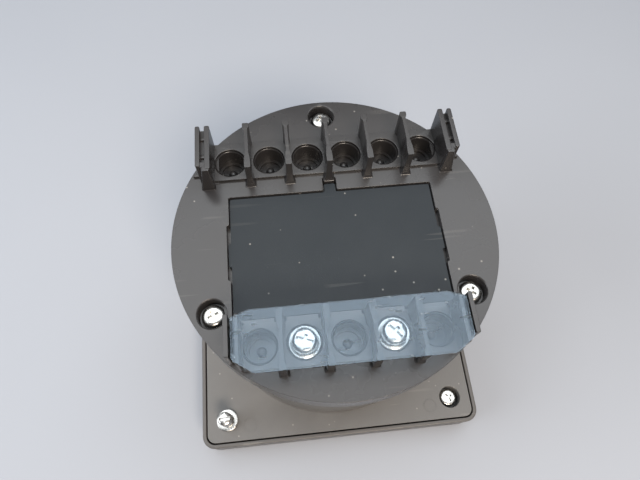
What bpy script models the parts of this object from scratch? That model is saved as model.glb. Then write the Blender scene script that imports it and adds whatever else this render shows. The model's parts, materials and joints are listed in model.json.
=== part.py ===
"""Square-bezel panel meter with a round barrel, seen from its terminal side.

The meter lies on its front: the bezel's face is at z = 0, the meter's axis is Z, and +Y points to the
upper row of terminals. Lengths in the constants are millimetres and are scaled once, by MM.
"""

import bpy
import bmesh
from math import cos, pi, radians, sin
from mathutils import Matrix, Vector

MM = 0.001
GAP = 0.3                        # clearance between touching pieces

# Front frame and window
BEZEL = 110.0
BEZEL_CORNER = 5.0
RIM = 1.5                        # wall of the frame around the flange
LIP = 2.0                        # thickness of the frame's front
WINDOW = 90.0
WINDOW_CORNER = 16.0
GLASS_Z = (2.3, 4.3)
SURROUND_Z = (4.6, 10.9)
DIAL_Z = (11.2, 12.0)
CORNER_HOLE = 45.0               # distance of the corner hardware from the axis, along X and along Y
STUD_CORNERS = ((-1, -1), (1, 1))
SCREW_CORNERS = ((1, -1), (-1, 1))

# Case
FLANGE_Z = (12.3, 15.0)
FLANGE = 106.0
FLANGE_CORNER = 3.2
BARREL_R = 46.0
BARREL_WALL = 2.2
COLLAR_R = 47.9
COLLAR_Z = (72.5, 78.7)

# Rear cover
FACE_Z = 87.0
COVER_R = 50.0
COVER_THICK = 4.0
SKIRT_Z = 76.0
SKIRT_WALL = 1.8
PLATEAU = 1.0
PITCH = 12.5
UPPER_WELL_Y = 27.5
LOWER_WELL_Y = -32.9
UPPER_WELLS = tuple(PITCH * (n - 2.5) for n in range(6))
LOWER_WELLS = tuple(PITCH * (n - 2) for n in range(5))
TERMINALS = (-PITCH, PITCH)      # lower wells that hold a terminal
WELL_R = 4.45
WELL_RIM_R = 5.0
WELL_FLOOR_Z = 80.3
CUP_R = 5.6
BARRIER_TOP_Z = 98.0
UPPER_BARRIER_Y = (19.0, 35.2)
LOWER_BARRIER_Y = (-41.6, -25.5)
UPPER_WALL_X = (36.2, 37.8, 39.2, 40.6)      # inner plate, groove, outer plate
LOWER_WALL_X = (29.6, 30.6, 32.3, 33.6)
COVER_SCREW_R = 44.0
COVER_SCREW_ANGLES = (90, 210, 330)
COUNTERBORE_R = 4.3
COUNTERBORE_Z = 82.6

# Snap-in plate
PLATE_X = 32.4
PLATE_Y = (-24.9, 15.2)
PLATE_TOP_Z = 86.2
PLATE_THICK = 1.5
LEDGE = 1.5

# Clear cover
CLEAR_Z = (98.3, 99.1)
CLEAR_X = 31.5
CLEAR_Y = (-41.8, -25.2)

# Movement
POINTER_REST = radians(-30)
ADJUSTER_Y = -22.0
ECCENTRIC = 1.2
PILLAR_X = 29.0
CORE_Z = (24.0, 34.0)
BOARD_Z = (60.0, 61.6)
BOARD_R = 40.0
STANDOFF_X = 36.5


# ---------------------------------------------------------------- scene and materials

for old in list(bpy.data.objects):
    bpy.data.objects.remove(old, do_unlink=True)


def new_collection(name):
    collection = bpy.data.collections.new(name)
    bpy.context.scene.collection.children.link(collection)
    return collection


PARTS = new_collection("panel_meter")
TOOLS = new_collection("cutters")


def make_material(name, colour, roughness, metallic=0.0, alpha=1.0):
    material = bpy.data.materials.new(name)
    material.use_nodes = True
    shader = material.node_tree.nodes["Principled BSDF"]
    shader.inputs["Base Color"].default_value = (*colour, 1.0)
    shader.inputs["Roughness"].default_value = roughness
    shader.inputs["Metallic"].default_value = metallic
    shader.inputs["Alpha"].default_value = alpha
    return material


GLOSS_BLACK = make_material("gloss_black", (0.030, 0.027, 0.026), 0.22)
MATTE_BLACK = make_material("matte_black", (0.022, 0.022, 0.023), 0.62)
CASE_BLACK = make_material("case_black", (0.050, 0.045, 0.043), 0.38)
BRIGHT_ZINC = make_material("bright_zinc", (0.72, 0.72, 0.70), 0.25, 1.0)
CLEAR_PLASTIC = make_material("clear_plastic", (0.75, 0.82, 0.88), 0.05, 0.0, 0.3)
GLASS = make_material("glass", (0.85, 0.90, 0.90), 0.03, 0.0, 0.3)
DIAL_WHITE = make_material("dial_white", (0.86, 0.85, 0.80), 0.5)
BRASS = make_material("brass", (0.72, 0.52, 0.22), 0.3, 1.0)
STEEL = make_material("steel", (0.50, 0.50, 0.50), 0.35, 1.0)
MAGNET_GREY = make_material("magnet_grey", (0.16, 0.16, 0.17), 0.55, 0.3)
COPPER = make_material("copper", (0.65, 0.27, 0.12), 0.4, 1.0)
ALUMINIUM = make_material("aluminium", (0.78, 0.78, 0.78), 0.3, 1.0)
BOARD_GREEN = make_material("board_green", (0.06, 0.20, 0.09), 0.45)
POINTER_RED = make_material("pointer_red", (0.55, 0.04, 0.03), 0.45)
PART_BLUE = make_material("part_blue", (0.08, 0.13, 0.30), 0.4)
PART_TAN = make_material("part_tan", (0.60, 0.48, 0.30), 0.5)


# ---------------------------------------------------------------- shape helpers

def place(name, mesh, origin=(0, 0, 0)):
    """A new object in the meter's collection; its mesh is drawn around the origin given, in millimetres."""
    item = bpy.data.objects.new(name, mesh)
    item.location = Vector(origin) * MM
    PARTS.objects.link(item)
    return item


def mesh_from(shape, name):
    bmesh.ops.scale(shape, vec=(MM, MM, MM), verts=shape.verts)
    mesh = bpy.data.meshes.new(name)
    shape.to_mesh(mesh)
    shape.free()
    return mesh


def finish(item, material):
    """Gives the object its material and smooth shading that stops at sharp edges."""
    item.data.materials.clear()
    item.data.materials.append(material)
    item.data.shade_smooth()
    item.data.set_sharp_from_angle(angle=radians(35))
    return item


def box(name, low, high, origin=(0, 0, 0)):
    shape = bmesh.new()
    bmesh.ops.create_cube(shape, size=1.0)
    size = Vector(high) - Vector(low)
    middle = (Vector(high) + Vector(low)) / 2
    bmesh.ops.scale(shape, vec=size, verts=shape.verts)
    bmesh.ops.translate(shape, vec=middle, verts=shape.verts)
    return place(name, mesh_from(shape, name), origin)


def rod(name, radius, low, high, x=0.0, y=0.0, steps=32, origin=(0, 0, 0)):
    """A cylinder along Z from low to high."""
    shape = bmesh.new()
    bmesh.ops.create_cone(shape, cap_ends=True, segments=steps, radius1=radius, radius2=radius,
                          depth=high - low)
    bmesh.ops.translate(shape, vec=(x, y, (low + high) / 2), verts=shape.verts)
    return place(name, mesh_from(shape, name), origin)


def turned(name, profile, steps=32, origin=(0, 0, 0)):
    """A solid of revolution about Z: profile is (radius, z), down the outer side, in millimetres."""
    shape = bmesh.new()
    corners = [shape.verts.new((radius, 0.0, z)) for radius, z in profile]
    closed = profile[0][0] > 0 or profile[-1][0] > 0
    for start, end in zip(corners, corners[1:]):
        shape.edges.new((start, end))
    if closed:
        shape.edges.new((corners[-1], corners[0]))
    item = place(name, mesh_from(shape, name), origin)
    screw = item.modifiers.new("turn", "SCREW")
    screw.steps = steps
    screw.render_steps = steps
    screw.use_merge_vertices = True
    screw.merge_threshold = 0.00001
    screw.use_normal_calculate = False
    return item


def circle(radius, x=0.0, y=0.0, steps=32):
    turn = 2 * pi / steps
    return [(x + radius * cos(n * turn), y + radius * sin(n * turn)) for n in range(steps)]


def arc(radius, start, end, steps, x=0.0, y=0.0):
    """Points on an arc, with both angles in degrees."""
    angles = [radians(start + (end - start) * n / steps) for n in range(steps + 1)]
    return [(x + radius * cos(a), y + radius * sin(a)) for a in angles]


def rounded(half_x, half_y, radius, steps=5):
    """A rectangle about the axis with round corners, counter-clockwise."""
    points = []
    for start, sx, sy in ((0, 1, 1), (90, -1, 1), (180, -1, -1), (270, 1, -1)):
        points += arc(radius, start, start + 90, steps, sx * (half_x - radius), sy * (half_y - radius))
    return points


def rectangle(low, high):
    return [(low[0], low[1]), (high[0], low[1]), (high[0], high[1]), (low[0], high[1])]


def plate(name, outlines, low, high, origin=(0, 0, 0)):
    """A flat piece from low to high: the first outline is its edge and the others are holes."""
    curve = bpy.data.curves.new(name, "CURVE")
    curve.dimensions = "2D"
    curve.fill_mode = "BOTH"
    curve.extrude = (high - low) / 2 * MM
    for points in outlines:
        spline = curve.splines.new("POLY")
        spline.points.add(len(points) - 1)
        for point, (x, y) in zip(spline.points, points):
            point.co = (x * MM, y * MM, 0.0, 1.0)
        spline.use_cyclic_u = True
    return solid_from_curve(name, curve, Matrix.Translation((0, 0, (low + high) / 2 * MM)), origin)


def wire(name, route, radius, origin=(0, 0, 0), resolution=2):
    """A round wire through the points of route."""
    curve = bpy.data.curves.new(name, "CURVE")
    curve.dimensions = "3D"
    curve.bevel_depth = radius * MM
    curve.bevel_resolution = resolution
    curve.use_fill_caps = True
    spline = curve.splines.new("POLY")
    spline.points.add(len(route) - 1)
    for point, place_ in zip(spline.points, route):
        point.co = (*(Vector(place_) * MM), 1.0)
    return solid_from_curve(name, curve, Matrix.Identity(4), origin)


def solid_from_curve(name, curve, move, origin):
    """Turns a curve into a closed mesh, moved by the matrix given, and removes the curve."""
    guide = bpy.data.objects.new(name + "_curve", curve)
    TOOLS.objects.link(guide)
    graph = bpy.context.evaluated_depsgraph_get()
    mesh = bpy.data.meshes.new_from_object(guide.evaluated_get(graph))
    shape = bmesh.new()
    shape.from_mesh(mesh)
    bmesh.ops.transform(shape, matrix=move, verts=shape.verts)
    bmesh.ops.remove_doubles(shape, verts=shape.verts, dist=0.000001)
    bmesh.ops.recalc_face_normals(shape, faces=shape.faces)
    shape.to_mesh(mesh)
    shape.free()
    bpy.data.objects.remove(guide, do_unlink=True)
    return place(name, mesh, origin)


def combine(target, operation, tools):
    """Joins the tools to the target, or cuts them out of it; the tools stay as hidden guides."""
    label = f"{target.name}_{operation.lower()}_{len(target.modifiers)}"
    group = bpy.data.collections.new(label)
    TOOLS.children.link(group)
    for tool in tools:
        PARTS.objects.unlink(tool)
        group.objects.link(tool)
        tool.hide_render = True
        tool.display_type = "WIRE"
    boolean = target.modifiers.new(label, "BOOLEAN")
    boolean.operation = operation
    boolean.operand_type = "COLLECTION"
    boolean.collection = group
    boolean.solver = "EXACT"


def join(target, *tools):
    combine(target, "UNION", tools)


def cut(target, *tools):
    combine(target, "DIFFERENCE", tools)


# ---------------------------------------------------------------- front of the meter

def build_front_frame():
    half = BEZEL / 2
    window = rounded(WINDOW / 2, WINDOW / 2, WINDOW_CORNER, 8)
    frame = plate("front_frame", (rounded(half, half, BEZEL_CORNER), window), 0.0, FLANGE_Z[1])
    pocket = rounded(half - RIM, half - RIM, BEZEL_CORNER - RIM)
    cut(frame, plate("frame_pocket", (pocket,), LIP, FLANGE_Z[1] + 2))
    bosses = []
    holes = []
    for index, (sx, sy) in enumerate(STUD_CORNERS + SCREW_CORNERS):
        x, y = sx * CORNER_HOLE, sy * CORNER_HOLE
        top = 12.0 if index < len(STUD_CORNERS) else 8.9
        bosses.append(rod(f"frame_boss_{index}", 3.6, LIP / 2, top, x, y, 16))
        holes.append(rod(f"frame_hole_{index}", 1.9, LIP + 0.8, top + 2, x, y, 12))
    join(frame, *bosses)
    cut(frame, *holes)
    finish(frame, CASE_BLACK)


def build_window():
    outline = rounded(46.6, 46.6, 16.5, 8)
    glass = plate("window_glass", (outline, circle(2.9, 0, ADJUSTER_Y, 24)), *GLASS_Z)
    finish(glass, GLASS)
    surround = plate("dial_surround", (rounded(46.6, 46.6, 19, 8), rounded(44.6, 44.6, 17, 8)), *SURROUND_Z)
    finish(surround, MATTE_BLACK)


def build_zero_adjuster():
    """A slotted screw held in the glass, whose eccentric pin moves the zero lever."""
    origin = (0, ADJUSTER_Y, 0)
    profile = ((0, 5.4), (4.0, 5.4), (4.0, 4.6), (2.6, 4.6), (2.6, 1.5), (0, 1.5))
    adjuster = turned("zero_adjuster", profile, 24, origin)
    join(adjuster, rod("adjuster_pin", 0.6, 5.0, 6.9, 0, ECCENTRIC, 12, origin))
    cut(adjuster, box("adjuster_slot", (-3, -0.35, 1.0), (3, 0.35, 2.2), origin))
    finish(adjuster, CASE_BLACK)


def build_zero_lever():
    lever = plate("zero_lever", (circle(4.2, steps=20), circle(1.85, steps=14)), 5.7, 6.3)
    arm = plate("lever_arm", (rectangle((-1.9, -22.9), (1.9, -2.6)),
                              rectangle((-0.9, -22.1), (0.9, -19.3))), 5.7, 6.3)
    tab = box("lever_tab", (3.0, -0.8, 5.7), (6.4, 0.8, 6.3))
    stud = rod("lever_stud", 0.5, 6.0, 8.7, 5.9, 0, 10)
    join(lever, arm, tab, stud)
    finish(lever, BRASS)
    finish(hairspring("front_hairspring", 1.9, 5.0, 8.3, 0.0), BRASS)


def hairspring(name, inner, outer, z, end_angle):
    """A flat spiral of three turns that ends at the angle given, in degrees."""
    turns = 3
    steps = 10 * turns
    start = end_angle - 360 * turns
    route = []
    for n in range(steps + 1):
        share = n / steps
        angle = radians(start + 360 * turns * share)
        radius = inner + (outer - inner) * share
        route.append((radius * cos(angle), radius * sin(angle), z))
    return wire(name, route, 0.15, resolution=0)


def build_front_bridge():
    """The bridge stands on the dial below the shaft and reaches over the hub with the front jewel."""
    arm_end = arc(3.0, 0, 180, 8)
    foot = [(-3.0, -10.0), (-7.0, -10.5), (-7.0, -15.5), (7.0, -15.5), (7.0, -10.5), (3.0, -10.0)]
    bridge = plate("front_bridge", (arm_end + foot,), 6.6, 7.8)
    join(bridge, box("bridge_foot", (-6.8, -15.3, 7.2), (6.8, -10.7, 10.9)))
    drills = [rod("bridge_drill", 1.25, 6, 12, x, -13, 10) for x in (-4.8, 4.8)]
    cut(bridge, rod("jewel_hole", 1.85, 6, 9, steps=14), *drills)
    finish(bridge, ALUMINIUM)
    for index, x in enumerate((-4.8, 4.8), 1):
        profile = ((0, 13.8), (0.9, 13.8), (0.9, 6.3), (1.9, 6.3), (1.9, 5.4), (0, 5.4))
        finish(turned(f"bridge_screw_{index}", profile, 16, (x, -13, 0)), STEEL)
    finish(rod("front_jewel_screw", 1.5, 5.6, 8.0, steps=20), BRASS)


def build_dial():
    holes = [circle(4.0), circle(1.3, -30, -14, 10), circle(1.3, 30, -14, 10),
             circle(1.25, -4.8, -13, 10), circle(1.25, 4.8, -13, 10)]
    finish(plate("dial_plate", (rounded(46, 46, 18, 8), *holes), *DIAL_Z), DIAL_WHITE)
    for index, x in enumerate((-30, 30), 1):
        profile = ((0, 14.0), (1.0, 14.0), (1.0, 10.9), (2.2, 10.9), (2.2, 9.9), (0, 9.9))
        finish(turned(f"dial_screw_{index}", profile, 16, (x, -14, 0)), STEEL)


# ---------------------------------------------------------------- moving system

def toward_rest(points):
    """Turns points drawn along +X to the pointer's rest direction."""
    c, s = cos(POINTER_REST), sin(POINTER_REST)
    return [(x * c - y * s, x * s + y * c) for x, y in points]


def build_moving_system():
    blade = toward_rest([(0.5, -1.2), (30, -0.35), (37, 0), (30, 0.35), (0.5, 1.2), (-2.0, 1.2),
                         (-2.0, -1.2)])
    pointer = plate("pointer", (blade,), 9.2, 9.7)
    join(pointer, rod("pointer_hub_body", 2.6, 8.9, 10.3, steps=24))
    cut(pointer, rod("pointer_bore", 1.1, 8, 11, steps=16))
    finish(pointer, POINTER_RED)

    weight = toward_rest(circle(1.2, -6.0, 0, 16))
    tail = plate("pointer_counterweight", (weight,), 8.8, 10.2)
    join(tail, plate("tail_arm", (toward_rest(rectangle((-6, -0.5), (-2.9, 0.5))),), 9.3, 9.6))
    finish(tail, BRASS)

    shaft = ((0, 41.2), (0.3, 41.2), (0.8, 40.2), (0.8, 9.3), (0.3, 8.3), (0, 8.3))
    finish(turned("spindle", shaft, 16), STEEL)

    bracket = plate("coil_bracket", (toward_rest(rectangle((-2.4, -1.1), (7.7, 1.1))),), 22.2, 35.8)
    window = plate("bracket_window", (toward_rest(rectangle((-4, -3), (6.4, 3))),), 23.4, 34.6)
    join(bracket, rod("bracket_collar", 2.4, 22.2, 35.8, steps=20))
    cut(bracket, window, rod("bracket_bore", 1.1, 20, 38, steps=16))
    finish(bracket, ALUMINIUM)

    coil = plate("moving_coil", (toward_rest(rectangle((8.0, -1.2), (15.0, 1.2))),), 22.0, 36.0)
    cut(coil, plate("coil_window", (toward_rest(rectangle((9.4, -3), (13.6, 3))),), 23.4, 34.6))
    finish(coil, COPPER)


# ---------------------------------------------------------------- magnet system and its frame

def sector(inner, outer, start, end, steps):
    """The outline of a ring sector, with angles in degrees."""
    return arc(outer, start, end, steps) + arc(inner, end, start, steps)


def build_magnet_system():
    ring = plate("pole_ring", (sector(10.0, 13.0, -78, 258, 36),), *CORE_Z)
    finish(ring, STEEL)
    finish(plate("magnet", (sector(13.3, 16.7, 228, 312, 12),), *CORE_Z), MAGNET_GREY)
    yoke = plate("yoke_ring", (circle(21, steps=32), circle(17, steps=32)), *CORE_Z)
    ears = [box(f"yoke_ear_{index}", (min(sx * 19.5, sx * 33), -4, 27), (max(sx * 19.5, sx * 33), 4, 31))
            for index, sx in enumerate((-1, 1))]
    join(yoke, *ears)
    cut(yoke, *pillar_holes("yoke", 26, 32))
    finish(yoke, STEEL)
    frame = plate("movement_frame", (circle(43.2, steps=40), circle(7.0, steps=20)), 12.6, 15.0)
    small = [rod(f"frame_drill_{index}", 1.4, 12, 16, x, y, 10)
             for index, (x, y) in enumerate(((-30, -14), (30, -14), (-4.8, -13), (4.8, -13)))]
    cut(frame, *small, *pillar_holes("movement_frame", 12, 16))
    finish(frame, CASE_BLACK)


def pillar_holes(owner, low, high):
    return [rod(f"{owner}_pillar_hole_{index}", 2.35, low, high, sx * PILLAR_X, 0, 14)
            for index, sx in enumerate((-1, 1))]


def build_pillars():
    for index, sx in enumerate((-1, 1), 1):
        shoulder = ((0, 48.0), (2.0, 48.0), (2.0, 26.7), (3.2, 26.7), (3.2, 15.3), (2.0, 15.3), (2.0, 12.4),
                    (0, 12.4))
        finish(turned(f"movement_pillar_{index}", shoulder, 14, (sx * PILLAR_X, 0, 0)), BRASS)
        nut = plate(f"pillar_nut_{index}", (circle(3.4, steps=6), circle(2.35, steps=14)), 44.3, 46.3,
                    (sx * PILLAR_X, 0, 0))
        finish(nut, BRASS)
    bridge = plate("rear_bridge", (rounded(33, 4, 3.9),), 42.0, 44.0)
    cut(bridge, rod("bridge_bore", 1.9, 41, 45, steps=20), *pillar_holes("bridge", 41, 45))
    finish(bridge, ALUMINIUM)
    finish(rod("rear_jewel_screw", 1.6, 41.5, 46.0, steps=20), BRASS)
    finish(hairspring("rear_hairspring", 1.9, 5.0, 38.6, 180.0), BRASS)
    for index, sx in enumerate((-1, 1), 1):
        spacer = plate(f"bridge_spacer_{index}", (circle(3.3, steps=14), circle(2.35, steps=14)), 31.3, 41.7,
                       (sx * PILLAR_X, 0, 0))
        finish(spacer, BRASS)


# ---------------------------------------------------------------- case and rear cover

def on_circle(radius, degrees):
    return radius * cos(radians(degrees)), radius * sin(radians(degrees))


def build_meter_case():
    inner = BARREL_R - BARREL_WALL
    half = FLANGE / 2
    case = plate("meter_case", (rounded(half, half, FLANGE_CORNER), circle(inner, steps=56)), *FLANGE_Z)
    root = FLANGE_Z[0] + 1
    wall = ((COLLAR_R, COLLAR_Z[1]), (COLLAR_R, COLLAR_Z[0]), (BARREL_R, COLLAR_Z[0] - 2), (BARREL_R, root),
            (inner, root), (inner, COLLAR_Z[1]))
    barrel = turned("case_barrel", wall, 56)
    bosses = []
    drills = []
    for index, angle in enumerate(COVER_SCREW_ANGLES):
        x, y = on_circle(COVER_SCREW_R, angle)
        bosses.append(rod(f"case_boss_{index}", 3.5, 56, COLLAR_Z[1] - 0.2, x, y, 14))
        drills.append(rod(f"case_drill_{index}", 1.8, 60, 82, x, y, 12))
    for index, (sx, sy) in enumerate(SCREW_CORNERS):
        x, y = sx * CORNER_HOLE, sy * CORNER_HOLE
        bosses.append(rod(f"case_cup_{index}", 5.2, 9.2, 13.5, x, y, 18))
        drills.append(rod(f"case_counterbore_{index}", 4.15, 10.2, 17, x, y, 20))
        drills.append(rod(f"case_screw_hole_{index}", 1.9, 8, 11, x, y, 12))
    for index, (sx, sy) in enumerate(STUD_CORNERS):
        drills.append(rod(f"case_stud_hole_{index}", 2.0, 11, 17, sx * CORNER_HOLE, sy * CORNER_HOLE, 12))
    join(case, barrel, *bosses)
    cut(case, *drills)
    finish(case, CASE_BLACK)


def barrier_outline(x, near, far, way):
    """A barrier's plan: a thin web with a broad end towards the middle of the cover and a bead outside."""
    web = 0.55
    end = 1.0
    return [(x - end, near), (x + end, near), (x + end, near + way * 2.8), (x + web, near + way * 5.6),
            (x + web, far - way * 2.2), (x + end, far - way * 1.5), (x + end, far),
            (x - end, far), (x - end, far - way * 1.5), (x - web, far - way * 2.2),
            (x - web, near + way * 5.6), (x - end, near + way * 2.8)]


def build_rear_cover():
    skirt_inner = COVER_R - SKIRT_WALL
    under = FACE_Z - COVER_THICK
    edge = 0.8
    profile = ((0, FACE_Z), (COVER_R - edge, FACE_Z), (COVER_R, FACE_Z - edge), (COVER_R, SKIRT_Z),
               (skirt_inner, SKIRT_Z), (skirt_inner, under), (0, under))
    cap = turned("rear_cover", profile, 72)
    top = FACE_Z + PLATEAU
    upper_side = UPPER_WALL_X[3]
    added = [box("upper_plateau", (-37, 21.1, under + 0.5), (37, 34.8, top)),
             box("lower_plateau", (-30.5, -39.4, under + 0.5), (30.5, -26.4, top))]
    for side in (-1, 1):
        low, high = sorted((side * 33.0, side * upper_side))
        added.append(box("upper_corner", (low, 20.3, under + 0.4), (high, 35.2, FACE_Z + 0.01)))
    for x in (-25.0, -12.5, 0.0, 12.5, 25.0):
        outline = barrier_outline(x, *UPPER_BARRIER_Y, 1)
        added.append(plate("upper_barrier", (outline,), under + 1, BARRIER_TOP_Z))
    for x in (-18.75, -6.25, 6.25, 18.75):
        outline = barrier_outline(x, LOWER_BARRIER_Y[1], LOWER_BARRIER_Y[0], -1)
        added.append(plate("lower_barrier", (outline,), under + 1, BARRIER_TOP_Z))
    for side in (-1, 1):
        added += side_walls("upper", side, UPPER_WALL_X, (19.0, 20.3, 35.2, 35.2), under)
        added += side_walls("lower", side, LOWER_WALL_X, (-25.6, -25.6, -39.2, -37.0), under)
    cups = [(x, UPPER_WELL_Y) for x in UPPER_WELLS] + [(x, LOWER_WELL_Y) for x in LOWER_WELLS]
    added += [rod("cup", CUP_R, WELL_FLOOR_Z - 1.2, under + 1, x, y, 14) for x, y in cups]
    added += [rod("standoff", 2.8, BOARD_Z[1] + GAP, under + 1, sx * STANDOFF_X, 0, 12) for sx in (-1, 1)]
    for angle in COVER_SCREW_ANGLES:
        x, y = on_circle(COVER_SCREW_R, angle)
        added.append(rod("cover_boss", 5.4, COLLAR_Z[1] + GAP, under + 1, x, y, 16))
    join(cap, *added)
    cut(cap, *cover_cuts(cups, top))
    finish(cap, GLOSS_BLACK)


def side_walls(row, side, levels, ends, under):
    """The two plates at one end of a row, with the groove for the clear cover's leg between them."""
    inner_near, outer_near, inner_far, outer_far = ends
    walls = []
    for label, first, near, far in (("inner", 0, inner_near, inner_far), ("outer", 2, outer_near, outer_far)):
        low_x, high_x = sorted((side * levels[first], side * levels[first + 1]))
        low_y, high_y = sorted((near, far))
        walls.append(box(f"{row}_{label}_wall", (low_x, low_y, under + 0.7), (high_x, high_y, BARRIER_TOP_Z)))
    return walls


def cover_cuts(cups, top):
    cuts = []
    for x, y in cups:
        cuts.append(rod("well", WELL_R, WELL_FLOOR_Z, top + 1, x, y, 20))
        cuts.append(rod("well_rim", WELL_RIM_R, top - 0.9, top + 2, x, y, 20))
    cuts += [rod("terminal_hole", 3.3, WELL_FLOOR_Z - 3, WELL_FLOOR_Z + 1, x, LOWER_WELL_Y, 16)
             for x in TERMINALS]
    cuts += [rod("standoff_hole", 1.4, BOARD_Z[0], 74, sx * STANDOFF_X, 0, 10) for sx in (-1, 1)]
    for angle in COVER_SCREW_ANGLES:
        x, y = on_circle(COVER_SCREW_R, angle)
        cuts.append(rod("counterbore", COUNTERBORE_R, COUNTERBORE_Z, FACE_Z + 1, x, y, 20))
        cuts.append(rod("cover_screw_hole", 1.8, COLLAR_Z[1] - 1, COUNTERBORE_Z + 1, x, y, 12))
    ledge_z = PLATE_TOP_Z - PLATE_THICK - GAP
    low, high = PLATE_Y
    cuts.append(box("plate_recess", (-PLATE_X, low, ledge_z), (PLATE_X, high, FACE_Z + 1)))
    cuts.append(box("plate_side_recess", (-PLATE_X - 0.8, -12.4, ledge_z), (PLATE_X + 0.8, 5.5, FACE_Z + 1)))
    cuts.append(box("plate_notch", (-2.15, high - 1, ledge_z), (2.15, 19.8, FACE_Z + 1)))
    cuts.append(box("plate_opening", (-PLATE_X + LEDGE, low + LEDGE, FACE_Z - COVER_THICK - 1),
                    (PLATE_X - LEDGE, high - LEDGE, FACE_Z)))
    return cuts


def build_rear_plate():
    """The plate sits on the ledge of the cover's opening; its tabs fill the middle of the side recesses."""
    low_z, high_z = PLATE_TOP_Z - PLATE_THICK, PLATE_TOP_Z
    low, high = PLATE_Y
    panel = box("rear_plate", (-PLATE_X + GAP, low + GAP, low_z), (PLATE_X - GAP, high - GAP, high_z))
    tab_x = PLATE_X + 0.8 - GAP
    tabs = box("plate_tabs", (-tab_x, -7.9, low_z + 0.05), (tab_x, -0.5, high_z - 0.05))
    tongue = box("plate_tongue", (-1.8, high - 1, low_z + 0.05), (1.8, 17.9, high_z - 0.05))
    legs = []
    for sx in (-1, 1):
        for y in (-16.0, 8.0):
            low_x, high_x = sorted((sx * (PLATE_X - LEDGE - 1.5), sx * (PLATE_X - LEDGE - GAP)))
            legs.append(box("plate_leg", (low_x, y - 3, 80.5), (high_x, y + 3, low_z + 0.5)))
    join(panel, tabs, tongue, *legs)
    finish(panel, MATTE_BLACK)


def build_terminal_cover():
    """A clear sheet over the lower row, with a leg down into the groove at each end."""
    low, high = CLEAR_Y
    outline = [(-CLEAR_X, low + 3.8), (-CLEAR_X + 5.5, low), (CLEAR_X - 5.5, low), (CLEAR_X, low + 3.8),
               (CLEAR_X, high - 1.7), (CLEAR_X - 5, high), (-CLEAR_X + 5, high), (-CLEAR_X, high - 1.7)]
    sheet = plate("terminal_cover", (outline,), *CLEAR_Z)
    legs = []
    for side in (-1, 1):
        low_x, high_x = sorted((side * (LOWER_WALL_X[1] + GAP), side * CLEAR_X))
        legs.append(box("cover_leg", (low_x, -36.4, FACE_Z + 1.5), (high_x, -27.6, CLEAR_Z[0] + 0.4)))
    join(sheet, *legs)
    finish(sheet, CLEAR_PLASTIC)


# ---------------------------------------------------------------- screws and terminals

def build_cover_screws():
    profile = ((0, 85.3), (2.2, 85.3), (3.1, 85.0), (3.5, 84.2), (3.5, 82.9), (1.5, 82.9), (1.5, 66.0),
               (0, 66.0))
    for index, (angle, turn) in enumerate(zip(COVER_SCREW_ANGLES, (8, 22, 52)), 1):
        x, y = on_circle(COVER_SCREW_R, angle)
        screw = turned(f"cover_screw_{index}", profile, 18, (x, y, 0))
        cut(screw, cross_recess((x, y, 0), 0.45, 1.45, 84.0, 86, turn))
        finish(screw, BRIGHT_ZINC)


def cross_recess(origin, half_width, reach, floor, top, turn):
    """The two slots of a cross recess, as one cross-shaped cutter, turned by an angle in degrees."""
    w, r = half_width, reach
    cross = [(r, -w), (r, w), (w, w), (w, r), (-w, r), (-w, w), (-r, w), (-r, -w), (-w, -w), (-w, -r),
             (w, -r), (w, -w)]
    c, s = cos(radians(turn)), sin(radians(turn))
    outline = [(x * c - y * s, x * s + y * c) for x, y in cross]
    return plate("cross", (outline,), floor, top, origin)


def build_terminals():
    post = ((4.1, 86.6), (4.1, 80.6), (3.0, 80.6), (3.0, 76.0), (0.9, 75.0), (0.9, 58.5), (0, 58.5),
            (0, 78.0), (2.2, 79.0), (2.2, 86.6))
    washer = ((4.65, 87.9), (4.65, 87.4), (2.3, 87.4), (2.3, 88.1), (4.3, 88.1))
    head = ((0, 91.0), (1.8, 91.0), (3.1, 90.4), (3.5, 89.6), (3.5, 88.4), (1.9, 88.4), (1.9, 80.5),
            (0, 80.5))
    for index, (x, turn) in enumerate(zip(TERMINALS, (-20, -50)), 1):
        origin = (x, LOWER_WELL_Y, 0)
        finish(turned(f"terminal_post_{index}", post, 20, origin), BRASS)
        finish(turned(f"terminal_washer_{index}", washer, 24, origin), BRIGHT_ZINC)
        screw = turned(f"terminal_screw_{index}", head, 20, origin)
        cut(screw, cross_recess(origin, 0.5, 1.7, 89.6, 92, turn))
        finish(screw, BRIGHT_ZINC)


def build_corner_hardware():
    stud = ((0, 24.0), (2.3, 24.0), (2.6, 23.7), (2.6, 16.3), (4.1, 16.3), (4.1, 15.3), (1.7, 15.3),
            (1.7, 4.0), (0, 4.0))
    for index, (sx, sy) in enumerate(STUD_CORNERS, 1):
        origin = (sx * CORNER_HOLE, sy * CORNER_HOLE, 0)
        item = turned(f"mounting_stud_{index}", stud, 18, origin)
        cut(item, box("stud_slot", (-4, -0.45, 22.6), (4, 0.45, 25), origin))
        finish(item, BRIGHT_ZINC)
    screw = ((0, 12.5), (2.9, 12.5), (3.45, 12.0), (3.45, 10.5), (1.5, 10.5), (1.5, 3.6), (0, 3.6))
    for index, (sx, sy) in enumerate(SCREW_CORNERS, 1):
        origin = (sx * CORNER_HOLE, sy * CORNER_HOLE, 0)
        item = turned(f"frame_screw_{index}", screw, 18, origin)
        cut(item, cross_recess(origin, 0.55, 1.7, 11.3, 14, 33))
        finish(item, BRIGHT_ZINC)


# ---------------------------------------------------------------- circuit

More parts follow.
